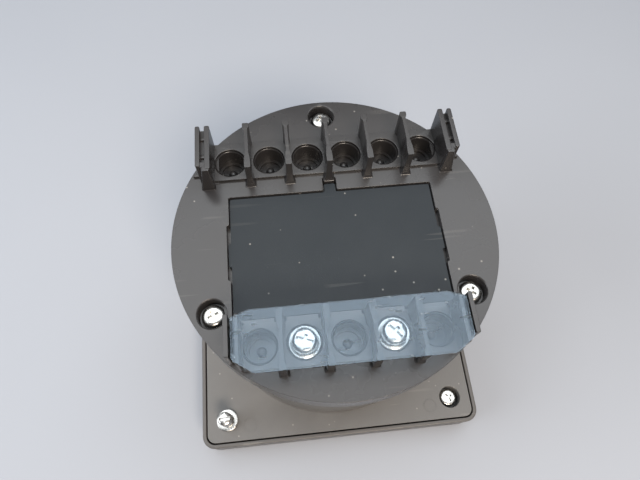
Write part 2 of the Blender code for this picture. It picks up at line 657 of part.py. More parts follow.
def build_circuit():
    board = plate("circuit_board", (circle(BOARD_R, steps=40),), *BOARD_Z)
    low, high = BOARD_Z[0] - 1, BOARD_Z[1] + 1
    drills = [rod("board_hole", 1.4, low, high, sx * STANDOFF_X, 0, 10) for sx in (-1, 1)]
    drills += [rod("post_hole", 1.3, low, high, x, LOWER_WELL_Y, 10) for x in TERMINALS]
    cut(board, *drills)
    finish(board, BOARD_GREEN)
    for index, sx in enumerate((-1, 1), 1):
        profile = ((0, 70.0), (1.1, 70.0), (1.1, 59.7), (2.4, 59.7), (2.4, 58.4), (0, 58.4))
        finish(turned(f"board_screw_{index}", profile, 16, (sx * STANDOFF_X, 0, 0)), STEEL)

    middle = (0, -20, 0)
    slots = [rectangle((-9, -8), (-4, 8)), rectangle((4, -8), (9, 8))]
    finish(plate("transformer_core", (rounded(13, 12, 0.5, 1), *slots), 50.0, 57.0, middle), STEEL)
    coil = box("transformer_coil", (-8.6, -7.6, 47.4), (8.6, 7.6, 59.6), middle)
    cut(coil, box("coil_core_way", (-4.3, -9, 49.7), (4.3, 9, 57.3), middle))
    finish(coil, COPPER)
    finish(rod("filter_capacitor", 4.0, 48.0, 59.7, -16, 15, 24), PART_BLUE)
    finish(box("rectifier", (-4, 16, 54), (4, 20, 59.7)), MATTE_BLACK)
    for index, y in enumerate((12, 17, 22), 1):
        profile = ((0, 4.5), (1.5, 4.5), (1.5, -4.5), (0, -4.5))
        resistor = turned(f"resistor_{index}", profile, 16, (18, y, 57.8))
        resistor.rotation_euler = (0, pi / 2, 0)
        finish(resistor, PART_TAN)
    for index, sx in enumerate((-1, 1), 1):
        route = [(sx * 9, 2.5, 44.6), (sx * 9, 3.5, 47), (sx * 9.5, 6, 51), (sx * 10, 8, 55),
                 (sx * 10, 8.5, 59.6)]
        finish(wire(f"movement_lead_{index}", route, 0.5), POINTER_RED if sx > 0 else MATTE_BLACK)


build_front_frame()
build_window()
build_zero_adjuster()
build_zero_lever()
build_front_bridge()
build_dial()
build_moving_system()
build_magnet_system()
build_pillars()
build_meter_case()
build_rear_cover()
build_rear_plate()
build_terminal_cover()
build_cover_screws()
build_terminals()
build_corner_hardware()
build_circuit()
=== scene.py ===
"""Looks of the square-bezel panel meter: moulded shells, hardware, finishes, studio and camera.

Shapes are drawn in millimetres around the meter's axis and are scaled once, when a piece is made.
"""
import json
from math import cos, pi, radians, sin, tau

import bmesh
import bpy
from mathutils import Matrix, Vector


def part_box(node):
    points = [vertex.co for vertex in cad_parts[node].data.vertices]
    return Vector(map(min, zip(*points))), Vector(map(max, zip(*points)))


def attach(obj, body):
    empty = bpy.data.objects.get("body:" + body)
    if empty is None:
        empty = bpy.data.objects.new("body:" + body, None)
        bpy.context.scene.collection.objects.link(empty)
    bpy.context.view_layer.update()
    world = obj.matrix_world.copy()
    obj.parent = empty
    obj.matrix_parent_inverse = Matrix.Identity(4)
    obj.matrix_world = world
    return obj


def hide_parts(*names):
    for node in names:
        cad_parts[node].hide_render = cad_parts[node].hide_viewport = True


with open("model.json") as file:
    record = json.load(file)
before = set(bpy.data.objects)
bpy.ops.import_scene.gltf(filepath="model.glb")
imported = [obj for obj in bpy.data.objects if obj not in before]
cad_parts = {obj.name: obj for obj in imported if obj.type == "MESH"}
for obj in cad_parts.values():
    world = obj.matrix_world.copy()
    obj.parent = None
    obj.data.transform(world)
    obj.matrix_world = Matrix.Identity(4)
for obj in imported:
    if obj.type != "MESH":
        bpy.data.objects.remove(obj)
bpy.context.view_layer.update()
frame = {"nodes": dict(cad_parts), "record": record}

MM = 0.001


def node_box(node):
    """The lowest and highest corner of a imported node, in millimetres."""
    low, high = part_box(node)
    return low / MM, high / MM


def middle_of(node):
    low, high = node_box(node)
    return (low + high) / 2


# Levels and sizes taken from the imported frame
COVER_HIGH = node_box("rear_cover")[1]
FRAME_LOW, FRAME_HIGH = node_box("front_frame")
CASE_HIGH = node_box("meter_case")[1]
PLATE_LOW, PLATE_HIGH = node_box("rear_plate")
SHEET_LOW, SHEET_HIGH = node_box("terminal_cover")
COVER_R = COVER_HIGH.x
BARRIER_TOP = COVER_HIGH.z
FACE = BARRIER_TOP - 11.0        # the cover's round face
PLATEAU = FACE + 1.0             # top of the two terminal blocks
UNDER = FACE - 4.0               # underside of the face
SKIRT_LOW = FACE - 11.0
BEZEL_HALF = FRAME_HIGH.x
RIM_TOP = FRAME_HIGH.z
PITCH = 12.5
UPPER_Y = 27.5
LOWER_Y = middle_of("terminal_washer_1").y
UPPER_WELLS = [PITCH * (n - 2.5) for n in range(6)]
LOWER_WELLS = [PITCH * (n - 2) for n in range(5)]
WELL_FLOOR = FACE - 6.7
UPPER_SPAN = (19.0, 35.2)        # barrier ends, near the middle and far from it
LOWER_SPAN = (-25.5, -41.6)
UPPER_WALLS = (36.2, 37.8, 39.2, 40.6)    # inner plate, groove, outer plate: the four edges
LOWER_WALLS = (29.6, 30.6, 32.3, 33.6)
RECESS_X = 32.4                  # half width of the snap-in plate's opening
RECESS_Y = (-24.9, 15.2)
TAB_Y = (-12.4, 5.5)
CORNER = 45.0                    # studs and frame screws, from the axis along X and Y
STUD_CORNERS = ((-CORNER, -CORNER), (CORNER, CORNER))
SCREW_CORNERS = ((CORNER, -CORNER), (-CORNER, CORNER))
COVER_SCREW_R = 44.0
COVER_SCREW_ANGLES = (90, 210, 330)
COUNTERBORE_R = 4.3
WELL_R = 4.45                    # bore of a terminal well
LIP_R = 5.0                      # outside of the bead around its mouth
CUP_R = 5.6                      # outside of the well below the plateau
PLATE_GAP = 0.3                  # play of the snap-in plate in its opening
TAB_STEP = 0.8                   # how far the opening widens at the side tabs
HARD_EDGE = radians(50)          # edges sharper than this are shaded sharp
FRAME_BORE_R = 4.15              # counterbore over a frame screw
PRINT_DEPTH = 0.03               # thickness of the dial's print
LAMP_DISTANCE = 0.8              # metres from the rear face


# ---------------------------------------------------------------- outlines

def arc(radius, start, end, steps, x=0.0, y=0.0):
    """Points on an arc, with both angles in degrees."""
    angles = [radians(start + (end - start) * n / steps) for n in range(steps + 1)]
    return [(x + radius * cos(a), y + radius * sin(a)) for a in angles]


def circle(radius, x=0.0, y=0.0, steps=40):
    return arc(radius, 0, 360, steps, x, y)[:-1]


def rounded(low, high, radius, steps=4):
    """A rectangle between two corners, with round corners, counter-clockwise."""
    points = []
    corners = ((0, high[0], high[1], -1, -1), (90, low[0], high[1], 1, -1),
               (180, low[0], low[1], 1, 1), (270, high[0], low[1], -1, 1))
    for start, x, y, inward_x, inward_y in corners:
        points += arc(radius, start, start + 90, steps, x + inward_x * radius, y + inward_y * radius)
    return points


def eased(points, amount, steps=3):
    """The same closed outline or profile with each corner replaced by a short curve."""
    result = []
    count = len(points)
    for n, point in enumerate(points):
        corner = Vector(point)
        before = Vector(points[n - 1]) - corner
        after = Vector(points[(n + 1) % count]) - corner
        start = corner + before.normalized() * min(amount, before.length * 0.45)
        end = corner + after.normalized() * min(amount, after.length * 0.45)
        for step in range(steps + 1):
            t = step / steps
            result.append(tuple(start.lerp(corner, t).lerp(corner.lerp(end, t), t)))
    return result


def mirrored(points):
    return [(-x, y) for x, y in reversed(points)]


# ---------------------------------------------------------------- shells

def draw(part, outline, z, mark=0):
    """A closed loop of edges at one level, whose points carry the mark of their outline."""
    marks = part.verts.layers.int.get("outline") or part.verts.layers.int.new("outline")
    corners = [part.verts.new((x, y, z)) for x, y in outline]
    for corner in corners:
        corner[marks] = mark
    return [part.edges.new((corners[n - 1], corners[n])) for n in range(len(corners))]


def raise_faces(part, faces, height):
    """Pulls faces up into new ones; gives the new points and faces."""
    grown = bmesh.ops.extrude_face_region(part, geom=faces)["geom"]
    points = [item for item in grown if isinstance(item, bmesh.types.BMVert)]
    bmesh.ops.translate(part, vec=(0, 0, height), verts=points)
    return points, [item for item in grown if isinstance(item, bmesh.types.BMFace)]


def round_rim(part, z, mark, amount, segments):
    """Rounds the edges that one outline has at the level z."""
    marks = part.verts.layers.int["outline"]
    rim = []
    for edge in part.edges:
        level = all(abs(point.co.z - z) < 0.001 and point[marks] == mark for point in edge.verts)
        flat = [abs(face.normal.z) > 0.999 for face in edge.link_faces]
        if level and any(flat) and not all(flat):
            rim.append(edge)
    bmesh.ops.bevel(part, geom=rim, offset=amount, offset_type="OFFSET", segments=segments, profile=0.5,
                    affect="EDGES", clamp_overlap=True, material=-1)
    part.normal_update()


def slab(outlines, low, high, top=0.0, bottom=0.0, segments=3):
    """A flat piece between two levels. The first outline is its edge and the others are holes; top and
    bottom say how far each outline's edges are rounded."""
    part = bmesh.new()
    edges = []
    for mark, outline in enumerate(outlines, 1):
        edges += draw(part, outline, low, mark)
    bmesh.ops.triangle_fill(part, use_beauty=True, edges=edges)
    raise_faces(part, part.faces[:], high - low)
    bmesh.ops.recalc_face_normals(part, faces=part.faces)
    for z, amounts in ((high, top), (low, bottom)):
        if not isinstance(amounts, tuple):
            amounts = (amounts,) * len(outlines)
        for mark, amount in enumerate(amounts, 1):
            if amount > 0:
                round_rim(part, z, mark, amount, segments)
    return part


def block(low, high, rounding=0.2, corner=0.15):
    """A box with round vertical edges and a rounded top."""
    return slab([rounded(low[:2], high[:2], corner, 2)], low[2], high[2], rounding, 0.0, 2)


def stack(levels, top=0.0):
    """A solid whose outline changes from level to level: levels are (z, outline), upwards."""
    part = bmesh.new()
    order = part.verts.layers.int.new("order")
    z, outline = levels[0]
    edges = draw(part, outline, z, 1)
    part.verts.ensure_lookup_table()
    for index, point in enumerate(part.verts):
        point[order] = index
    faces = bmesh.ops.triangle_fill(part, use_beauty=True, edges=edges)["geom"]
    faces = [item for item in faces if isinstance(item, bmesh.types.BMFace)]
    for z, outline in levels[1:]:
        points, faces = raise_faces(part, faces, 0.0)
        for point in points:
            point.co = (*outline[point[order]], z)
    bmesh.ops.recalc_face_normals(part, faces=part.faces)
    if top > 0:
        round_rim(part, z, 1, top, 2)
    return part


def spun(profile, x=0.0, y=0.0, steps=48):
    """A turned shell: profile is (radius, z); it is closed off unless it starts and ends on the axis."""
    part = bmesh.new()
    corners = [part.verts.new((radius, 0.0, z)) for radius, z in profile]
    edges = [part.edges.new(pair) for pair in zip(corners, corners[1:])]
    if profile[0][0] > 0 or profile[-1][0] > 0:
        edges.append(part.edges.new((corners[-1], corners[0])))
    bmesh.ops.spin(part, geom=corners + edges, cent=(0, 0, 0), axis=(0, 0, 1), angle=tau, steps=steps,
                   use_merge=True)
    bmesh.ops.remove_doubles(part, verts=part.verts, dist=0.0005)
    bmesh.ops.recalc_face_normals(part, faces=part.faces)
    bmesh.ops.translate(part, vec=(x, y, 0), verts=part.verts)
    return part


def recess_outline(half_width, reach_x, reach_y):
    """A cross whose two slots may differ in length."""
    w = half_width
    return [(reach_x, -w), (reach_x, w), (w, w), (w, reach_y), (-w, reach_y), (-w, w), (-reach_x, w),
            (-reach_x, -w), (-w, -w), (-w, -reach_y), (w, -reach_y), (w, -w)]


def driven_head(profile, recess, depth, x, y, turn, steps=40):
    """A screw with a driver recess: profile goes from the edge of the flat top down the outer side."""
    part = bmesh.new()
    radius, top = profile[0]
    rim = draw(part, circle(radius, steps=steps), top)
    cross = draw(part, recess, top)
    bmesh.ops.triangle_fill(part, use_beauty=True, edges=rim + cross)
    sunk = bmesh.ops.extrude_edge_only(part, edges=cross)["geom"]
    points = [item for item in sunk if isinstance(item, bmesh.types.BMVert)]
    bmesh.ops.translate(part, vec=(0, 0, -depth), verts=points)
    bmesh.ops.scale(part, vec=(0.82, 0.82, 1), verts=points)
    close(part, sunk)
    for (old_radius, old_z), (new_radius, z) in zip(profile, profile[1:]):
        grown = bmesh.ops.extrude_edge_only(part, edges=rim)["geom"]
        points = [item for item in grown if isinstance(item, bmesh.types.BMVert)]
        rim = [item for item in grown if isinstance(item, bmesh.types.BMEdge)
               and all(point in points for point in item.verts)]
        bmesh.ops.translate(part, vec=(0, 0, z - old_z), verts=points)
        bmesh.ops.scale(part, vec=(new_radius / old_radius, new_radius / old_radius, 1), verts=points)
    bmesh.ops.triangle_fill(part, use_beauty=True, edges=rim)
    bmesh.ops.recalc_face_normals(part, faces=part.faces)
    bmesh.ops.rotate(part, cent=(0, 0, 0), matrix=Matrix.Rotation(radians(turn), 3, "Z"), verts=part.verts)
    bmesh.ops.translate(part, vec=(x, y, 0), verts=part.verts)
    return part


def close(part, geometry):
    """Fills the loop of new edges that an extrusion of edges left open."""
    points = {item for item in geometry if isinstance(item, bmesh.types.BMVert)}
    loop = [item for item in geometry if isinstance(item, bmesh.types.BMEdge)
            and all(point in points for point in item.verts)]
    bmesh.ops.triangle_fill(part, use_beauty=True, edges=loop)


# ---------------------------------------------------------------- pieces

def make_mesh(name, shells):
    shape = bmesh.new()
    for shell in shells:
        loose = bpy.data.meshes.new("shell")
        shell.to_mesh(loose)
        shell.free()
        shape.from_mesh(loose)
        bpy.data.meshes.remove(loose)
    bmesh.ops.scale(shape, vec=(MM, MM, MM), verts=shape.verts)
    mesh = bpy.data.meshes.new(name)
    shape.to_mesh(mesh)
    shape.free()
    mesh.shade_smooth()
    mesh.set_sharp_from_angle(angle=HARD_EDGE)
    return mesh


def piece(name, shells, material, body, node):
    """One visible piece made of closed shells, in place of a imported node."""
    mesh = make_mesh(name, shells)
    mesh.materials.append(material)
    item = bpy.data.objects.new(name, mesh)
    bpy.context.scene.collection.objects.link(item)
    shading = item.modifiers.new("even_shading", "WEIGHTED_NORMAL")
    shading.keep_sharp = True
    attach(item, body)
    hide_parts(node)
    return item


# ---------------------------------------------------------------- finishes

def new_finish(name, roughness, metallic=0.0):
    material = bpy.data.materials.new(name)
    material.use_nodes = True
    shader = material.node_tree.nodes["Principled BSDF"]
    shader.inputs["Roughness"].default_value = roughness
    shader.inputs["Metallic"].default_value = metallic
    return material, material.node_tree, shader


def pattern(tree, kind, scale, stretch=(1, 1, 1), turn=0.0, **inputs):
    """A texture on the piece's own coordinates; scale counts its features in a metre."""
    place = tree.nodes.new("ShaderNodeTexCoord")
    mapping = tree.nodes.new("ShaderNodeMapping")
    mapping.inputs["Scale"].default_value = stretch
    mapping.inputs["Rotation"].default_value = (0, 0, turn)
    texture = tree.nodes.new(kind)
    tree.links.new(place.outputs["Object"], mapping.inputs["Vector"])
    tree.links.new(mapping.outputs["Vector"], texture.inputs["Vector"])
    texture.inputs["Scale"].default_value = scale
    for label, value in inputs.items():
        texture.inputs[label].default_value = value
    return texture


def fade(tree, source, start, end, low=0.0, high=1.0):
    """Spreads the part of a value between start and end over low to high."""
    spread = tree.nodes.new("ShaderNodeMapRange")
    spread.inputs["From Min"].default_value = start
    spread.inputs["From Max"].default_value = end
    spread.inputs["To Min"].default_value = low
    spread.inputs["To Max"].default_value = high
    tree.links.new(source, spread.inputs["Value"])
    return spread.outputs["Result"]


def product(tree, first, second):
    node = tree.nodes.new("ShaderNodeMath")
    node.operation = "MULTIPLY"
    for socket, value in zip(node.inputs, (first, second)):
        if isinstance(value, (int, float)):
            socket.default_value = value
        else:
            tree.links.new(value, socket)
    return node.outputs["Value"]


def highest(tree, first, second):
    node = tree.nodes.new("ShaderNodeMath")
    node.operation = "MAXIMUM"
    tree.links.new(first, node.inputs[0])
    tree.links.new(second, node.inputs[1])
    return node.outputs["Value"]


def tint(tree, factor, low, high):
    """A colour between low and high; each is a colour or another node's output."""
    mix = tree.nodes.new("ShaderNodeMix")
    mix.data_type = "RGBA"
    tree.links.new(factor, mix.inputs[0])
    for socket, value in ((mix.inputs[6], low), (mix.inputs[7], high)):
        if isinstance(value, tuple):
            socket.default_value = (*value, 1.0)
        else:
            tree.links.new(value, socket)
    return mix.outputs[2]


def relief(tree, shader, height, strength, distance):
    bump = tree.nodes.new("ShaderNodeBump")
    bump.inputs["Strength"].default_value = strength
    bump.inputs["Distance"].default_value = distance
    tree.links.new(height, bump.inputs["Height"])
    tree.links.new(bump.outputs["Normal"], shader.inputs["Normal"])


def dust(tree, scale, share):
    """Separate small specks, on the share of the cells that is given."""
    cells = pattern(tree, "ShaderNodeTexVoronoi", scale, Randomness=1.0)
    chosen = tree.nodes.new("ShaderNodeSeparateColor")
    tree.links.new(cells.outputs["Color"], chosen.inputs["Color"])
    near = fade(tree, cells.outputs["Distance"], 0.16, 0.07)
    return product(tree, near, fade(tree, chosen.outputs[0], 1 - share, 1 - share + 0.02))


def scratches(tree, turn, scale, width, stretch=0.04):
    """Thin marks in one direction, broken up by a coarse pattern."""
    lines = pattern(tree, "ShaderNodeTexNoise", scale, (stretch, 1.0, stretch), turn, Detail=1.0)
    breaks = pattern(tree, "ShaderNodeTexNoise", scale * 0.12, turn=turn, Detail=0.0)
    thin = fade(tree, lines.outputs["Fac"], 0.70 - width, 0.70)
    return product(tree, thin, fade(tree, breaks.outputs["Fac"], 0.52, 0.60))


def moulded_plastic(name, dark, pale, roughness, grain, grain_scale, dust_share=0.0, marks=0.0, lustre=0.5):
    """Moulded plastic: two close shades, uneven gloss, a surface grain, and specks and fine marks."""
    material, tree, shader = new_finish(name, roughness)
    shader.inputs["Specular IOR Level"].default_value = lustre
    cloud = pattern(tree, "ShaderNodeTexNoise", 45.0, Detail=4.0, Roughness=0.6)
    fine = pattern(tree, "ShaderNodeTexNoise", grain_scale, Detail=3.0, Roughness=0.6)
    colour = tint(tree, fade(tree, cloud.outputs["Fac"], 0.3, 0.7), dark, pale)
    gloss = fade(tree, cloud.outputs["Fac"], 0.3, 0.7, roughness * 0.85, roughness * 1.2)
    worn = None
    if marks > 0:
        lines = highest(tree, scratches(tree, 0.5, 520.0, 0.02), scratches(tree, 2.1, 430.0, 0.02))
        worn = product(tree, lines, marks)
    if dust_share > 0:
        specks = product(tree, dust(tree, 420.0, dust_share), 0.55)
        worn = specks if worn is None else highest(tree, specks, worn)
    if worn is not None:
        colour = tint(tree, worn, colour, (0.42, 0.40, 0.37))
        gloss = highest(tree, gloss, product(tree, worn, 0.9))
    tree.links.new(colour, shader.inputs["Base Color"])
    tree.links.new(gloss, shader.inputs["Roughness"])
    relief(tree, shader, fine.outputs["Fac"], grain, 0.0001)
    return material


def plated_metal(name, dark, pale, roughness, grain=0.12, tarnish=0.0):
    """Metal with a cloudy lustre, fine tool marks and, where asked, darker stains."""
    material, tree, shader = new_finish(name, roughness, 1.0)
    cloud = pattern(tree, "ShaderNodeTexNoise", 320.0, Detail=4.0, Roughness=0.65)
    fine = pattern(tree, "ShaderNodeTexNoise", 2600.0, (1.0, 1.0, 0.3), Detail=2.0)
    colour = tint(tree, fade(tree, cloud.outputs["Fac"], 0.35, 0.65), dark, pale)
    if tarnish > 0:
        stain = pattern(tree, "ShaderNodeTexNoise", 900.0, Detail=3.0, Roughness=0.7)
        spots = product(tree, fade(tree, stain.outputs["Fac"], 0.58, 0.72), tarnish)
        colour = tint(tree, spots, colour, tuple(0.35 * channel for channel in dark))
    tree.links.new(colour, shader.inputs["Base Color"])
    tree.links.new(fade(tree, cloud.outputs["Fac"], 0.3, 0.7, roughness * 0.7, roughness * 1.35),
                   shader.inputs["Roughness"])
    relief(tree, shader, fine.outputs["Fac"], grain, 0.00005)
    return material


def wound_wire(name, dark, pale, turns_per_metre, stretch):
    """Enamelled wire laid side by side."""
    material, tree, shader = new_finish(name, 0.32, 0.6)
    lay = pattern(tree, "ShaderNodeTexWave", turns_per_metre, stretch, Distortion=0.4)
    tree.links.new(tint(tree, lay.outputs["Fac"], dark, pale), shader.inputs["Base Color"])
    relief(tree, shader, lay.outputs["Fac"], 0.7, 0.0002)
    return material


def clear_sheet_finish():
    """Thin clear plastic, rubbed dull in places and scratched, tinted blue as a painted reflection of bluish
    light.
    """
    material, tree, shader = new_finish("clear_sheet", 0.06)
    shader.inputs["Transmission Weight"].default_value = 1.0
    shader.inputs["IOR"].default_value = 1.49
    # painted reflection: the blue specular tint colours every reflection on the sheet as if it mirrored
    # bluish light
    shader.inputs["Specular Tint"].default_value = (0.72, 0.86, 1.0, 1.0)
    haze = pattern(tree, "ShaderNodeTexNoise", 70.0, Detail=5.0, Roughness=0.65)
    lines = highest(tree, scratches(tree, 0.25, 900.0, 0.03, 0.2), scratches(tree, 1.2, 760.0, 0.03, 0.2))
    rubbed = fade(tree, haze.outputs["Fac"], 0.35, 0.75, 0.02, 0.09)
    tree.links.new(highest(tree, rubbed, product(tree, lines, 0.35)), shader.inputs["Roughness"])
    # painted reflection: the blue base colour tints what shows through the sheet, and the haze noise varies
    # how blue it is
    tree.links.new(tint(tree, haze.outputs["Fac"], (0.78, 0.88, 0.96), (0.87, 0.94, 1.0)),
                   shader.inputs["Base Color"])
    relief(tree, shader, haze.outputs["Fac"], 0.015, 0.0003)
    return material


def window_finish():
    material, tree, shader = new_finish("window_clear", 0.02)
    shader.inputs["Transmission Weight"].default_value = 1.0
    shader.inputs["IOR"].default_value = 1.5
    haze = pattern(tree, "ShaderNodeTexNoise", 30.0, Detail=3.0)
    tree.links.new(tint(tree, haze.outputs["Fac"], (0.94, 0.97, 0.96), (0.99, 1.0, 1.0)),
                   shader.inputs["Base Color"])
    tree.links.new(fade(tree, haze.outputs["Fac"], 0.3, 0.7, 0.01, 0.05), shader.inputs["Roughness"])
    return material


def board_finish():
    """Circuit board: green mask over darker copper areas."""
    material, tree, shader = new_finish("board_mask", 0.35)
    lands = pattern(tree, "ShaderNodeTexBrick", 55.0)
    lands.inputs["Color1"].default_value = (0.02, 0.13, 0.05, 1)
    lands.inputs["Color2"].default_value = (0.03, 0.17, 0.07, 1)
    lands.inputs["Mortar"].default_value = (0.015, 0.08, 0.035, 1)
    tree.links.new(lands.outputs["Color"], shader.inputs["Base Color"])
    relief(tree, shader, lands.outputs["Fac"], 0.3, 0.0001)
    return material


COVER_BLACK = moulded_plastic("cover_gloss_black", (0.026, 0.025, 0.026), (0.034, 0.032, 0.032), 0.27, 0.05,
                              900.0, 0.16, 0.05)
PLATE_BLACK = moulded_plastic("plate_matte_black", (0.010, 0.014, 0.018), (0.015, 0.020, 0.025), 0.50, 0.35,
                              2400.0, 0.12, 0.05, 0.33)
CASE_BLACK = moulded_plastic("case_satin_black", (0.122, 0.119, 0.116), (0.150, 0.147, 0.143), 0.42, 0.25,
                             1800.0, 0.20, 0.12)
FRAME_BLACK = moulded_plastic("frame_satin_black", (0.085, 0.080, 0.076), (0.105, 0.099, 0.095), 0.40, 0.25,
                              1800.0, 0.18, 0.15)
INNER_BLACK = moulded_plastic("inner_black", (0.018, 0.018, 0.019), (0.026, 0.026, 0.027), 0.55, 0.3, 1500.0)
ZINC = plated_metal("bright_zinc_plating", (0.42, 0.415, 0.40), (0.66, 0.655, 0.63), 0.26, 0.30, 0.35)
STEEL = plated_metal("ground_steel", (0.38, 0.38, 0.38), (0.55, 0.55, 0.54), 0.32)
BRASS = plated_metal("turned_brass", (0.62, 0.42, 0.15), (0.80, 0.60, 0.28), 0.26, 0.12, 0.1)
ALUMINIUM = plated_metal("stamped_aluminium", (0.70, 0.70, 0.70), (0.85, 0.85, 0.85), 0.30)
MAGNET_GREY = plated_metal("cast_magnet", (0.13, 0.13, 0.14), (0.20, 0.20, 0.21), 0.55, 0.5)
COPPER = wound_wire("copper_winding", (0.30, 0.09, 0.03), (0.72, 0.30, 0.12), 1400.0, (0.2, 0.2, 1.0))
CLEAR_SHEET = clear_sheet_finish()
WINDOW = window_finish()
BOARD = board_finish()
DIAL_WHITE = moulded_plastic("dial_enamel", (0.78, 0.77, 0.72), (0.84, 0.83, 0.79), 0.38, 0.05, 1200.0)
PRINT_BLACK = moulded_plastic("dial_print", (0.012, 0.012, 0.013), (0.02, 0.02, 0.021), 0.5, 0.05, 1200.0)
POINTER_RED = moulded_plastic("pointer_lacquer", (0.42, 0.025, 0.02), (0.55, 0.04, 0.03), 0.35, 0.05, 1500.0)
LEAD_RED = moulded_plastic("lead_sleeve_red", (0.38, 0.02, 0.02), (0.50, 0.04, 0.03), 0.45, 0.1, 1500.0)
PART_BLUE = moulded_plastic("capacitor_sleeve", (0.03, 0.05, 0.16), (0.05, 0.08, 0.22), 0.32, 0.08, 900.0)
PART_TAN = moulded_plastic("resistor_coat", (0.46, 0.34, 0.18), (0.60, 0.46, 0.27), 0.42, 0.2, 1500.0)

SLOT_FINISHES = {
    "cover_black": COVER_BLACK, "plate_black": INNER_BLACK, "case_black": CASE_BLACK,
    "frame_black": FRAME_BLACK, "clear_plastic": CLEAR_SHEET, "glass": WINDOW, "dial_white": DIAL_WHITE,
    "brass": BRASS, "steel": STEEL, "bright_zinc": ZINC, "magnet_grey": MAGNET_GREY, "copper": COPPER,
    "aluminium": ALUMINIUM, "board_green": BOARD, "pointer_red": POINTER_RED, "lead_red": LEAD_RED,
    "part_blue": PART_BLUE, "part_tan": PART_TAN,
}


def finish_packed_nodes():
    """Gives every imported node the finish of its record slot."""
    for subpart in frame["record"]["subparts"]:
        for holder in frame["nodes"][subpart["node"]].material_slots:
            holder.material = SLOT_FINISHES[subpart["material_slot"]]


# ---------------------------------------------------------------- rear cover

def recess_plan():
    """The opening for the snap-in plate: a rectangle with a step out at each side and a pry notch."""
    x = RECESS_X
    low, high = RECESS_Y
    side = x + TAB_STEP
    half = [(2.15, 19.8), (2.15, high), (x, high), (x, TAB_Y[1]), (side, TAB_Y[1]), (side, TAB_Y[0]),
            (x, TAB_Y[0]), (x, low)]
    return eased(mirrored(half) + half, 0.5, 2)


def barrier_plan(x, near, far, end, web=0.55, spread=0.0):
    """A barrier seen from above: a broad end near the middle of the cover, a thin web and a bead outside."""
    way = 1 if far > near else -1
    near -= way * spread
    half = [(end, near), (end, near + way * 2.8), (web, near + way * 5.6), (web, far - way * 2.2),
            (1.0 + spread, far - way * 1.5), (1.0 + spread, far)]
    outline = [(x + dx, y) for dx, y in half] + [(x - dx, y) for dx, y in reversed(half)]
    return eased(outline, 0.35, 2)


def barrier(x, near, far):
    return stack([(UNDER + 0.5, barrier_plan(x, near, far, 1.8, 0.8, 0.6)),
                  (FACE + 0.02, barrier_plan(x, near, far, 1.8, 0.8, 0.6)),
                  (FACE + 0.25, barrier_plan(x, near, far, 1.5, 0.7, 0.25)),
                  (FACE + 0.7, barrier_plan(x, near, far, 1.32, 0.65, 0.1)),
                  (FACE + 1.6, barrier_plan(x, near, far, 1.15, 0.6, 0.04)),
                  (FACE + 4.0, barrier_plan(x, near, far, 1.02)),
                  (BARRIER_TOP, barrier_plan(x, near, far, 0.95))], 0.22)


def well_cup(x, y, filled):
    """A terminal well with a rounded rim. An empty one has a stepped floor with a centre boss."""
    low = WELL_FLOOR - 1.2
    inside = [(WELL_R, WELL_FLOOR + 0.9), (3.6, WELL_FLOOR + 0.9), (3.6, WELL_FLOOR), (1.5, WELL_FLOOR),
              (1.3, WELL_FLOOR + 0.9), (0.9, WELL_FLOOR + 1.3), (0, WELL_FLOOR + 1.4)]
    if filled:
        inside = [(WELL_R, WELL_FLOOR), (3.3, WELL_FLOOR)]
    outside = [(CUP_R, low), (CUP_R, FACE - 0.1), (LIP_R, FACE - 0.1), (4.95, FACE + 0.25),
               (4.75, FACE + 0.42), (4.55, FACE + 0.3), (WELL_R, FACE - 0.1)]
    start = (3.3 if filled else 0, low)
    return spun([start] + outside + inside, x, y, 40)


def terminal_block(wells, y, low, high):
    """A raised plateau with the wells of one row and the rounded rims of their mouths."""
    holes = [circle(LIP_R, x, y, 40) for x in wells]
    outline = rounded(low, high, 0.5, 3)
    shells = [slab([outline] + holes, UNDER + 0.2, PLATEAU, (0.25,) + (0.3,) * len(holes))]
    for x in wells:
        shells.append(well_cup(x, y, y < 0 and abs(x) == PITCH))
    return shells


def upper_end(side):
    """The double wall at one end of the upper row, its closed near end, its rests and the pad outside it."""
    inner, groove, outer, edge = UPPER_WALLS
    shells = [walled(side, inner, groove, 19.6, 35.2), walled(side, outer, edge, 20.6, 35.2)]
    foot = [(inner + 0.2, 18.7), (40.3, 18.7), (40.3, 20.9), (inner + 0.2, 20.9)]
    head = [(inner + 0.3, 18.9), (38.7, 18.9), (38.7, 20.7), (inner + 0.3, 20.7)]
    flare = [(inner - 0.1, 18.3), (40.6, 18.3), (40.6, 20.9), (inner - 0.1, 20.9)]
    levels = [(UNDER + 1.5, flare), (FACE + 0.02, flare), (FACE + 0.35, foot), (BARRIER_TOP - 0.12, head)]
    shells.append(stack([(z, eased(sided(side, plan), 0.4, 3)) for z, plan in levels], 0.22))
    web_top = BARRIER_TOP - 2.2
    shells.append(block(*corners_of(side, groove - 0.1, outer + 0.1, 20.2, 34.9, FACE - 0.2, web_top)))
    for y, half, rise in ((21.3, 0.9, 1.9), (25.0, 0.6, 0.7), (31.5, 0.6, 0.7)):
        shells.append(block(*corners_of(side, groove - 0.05, outer + 0.05, y - half, y + half, web_top - 0.5,
                                        web_top + rise)))
    reach = COVER_R - 1.0
    top = (reach ** 2 - edge ** 2) ** 0.5
    pad = [(edge - 0.2, 23.3), ((reach ** 2 - 23.3 ** 2) ** 0.5, 23.3)]
    pad += [(x, (reach ** 2 - x ** 2) ** 0.5) for x in (42.6, 41.8, 41.2)] + [(edge - 0.2, top)]
    shells.append(slab([sided(side, pad)], FACE - 1, FACE + 0.9, 0.2))
    corner = corners_of(side, 35.0, edge - 0.25, 20.4, 34.95, FACE - 0.5, FACE + 0.25)
    shells.append(block(*corner))
    return shells


def sided(side, points):
    """Points drawn for the +X side, given for either side, counter-clockwise."""
    return points if side > 0 else mirrored(points)


def corners_of(side, inner, outer, near, far, low, high):
    """The two corners of a box given by its distances from the middle of the cover, on either side."""
    x = sorted((side * inner, side * outer))
    y = sorted((near, far))
    return (x[0], y[0], low), (x[1], y[1], high)


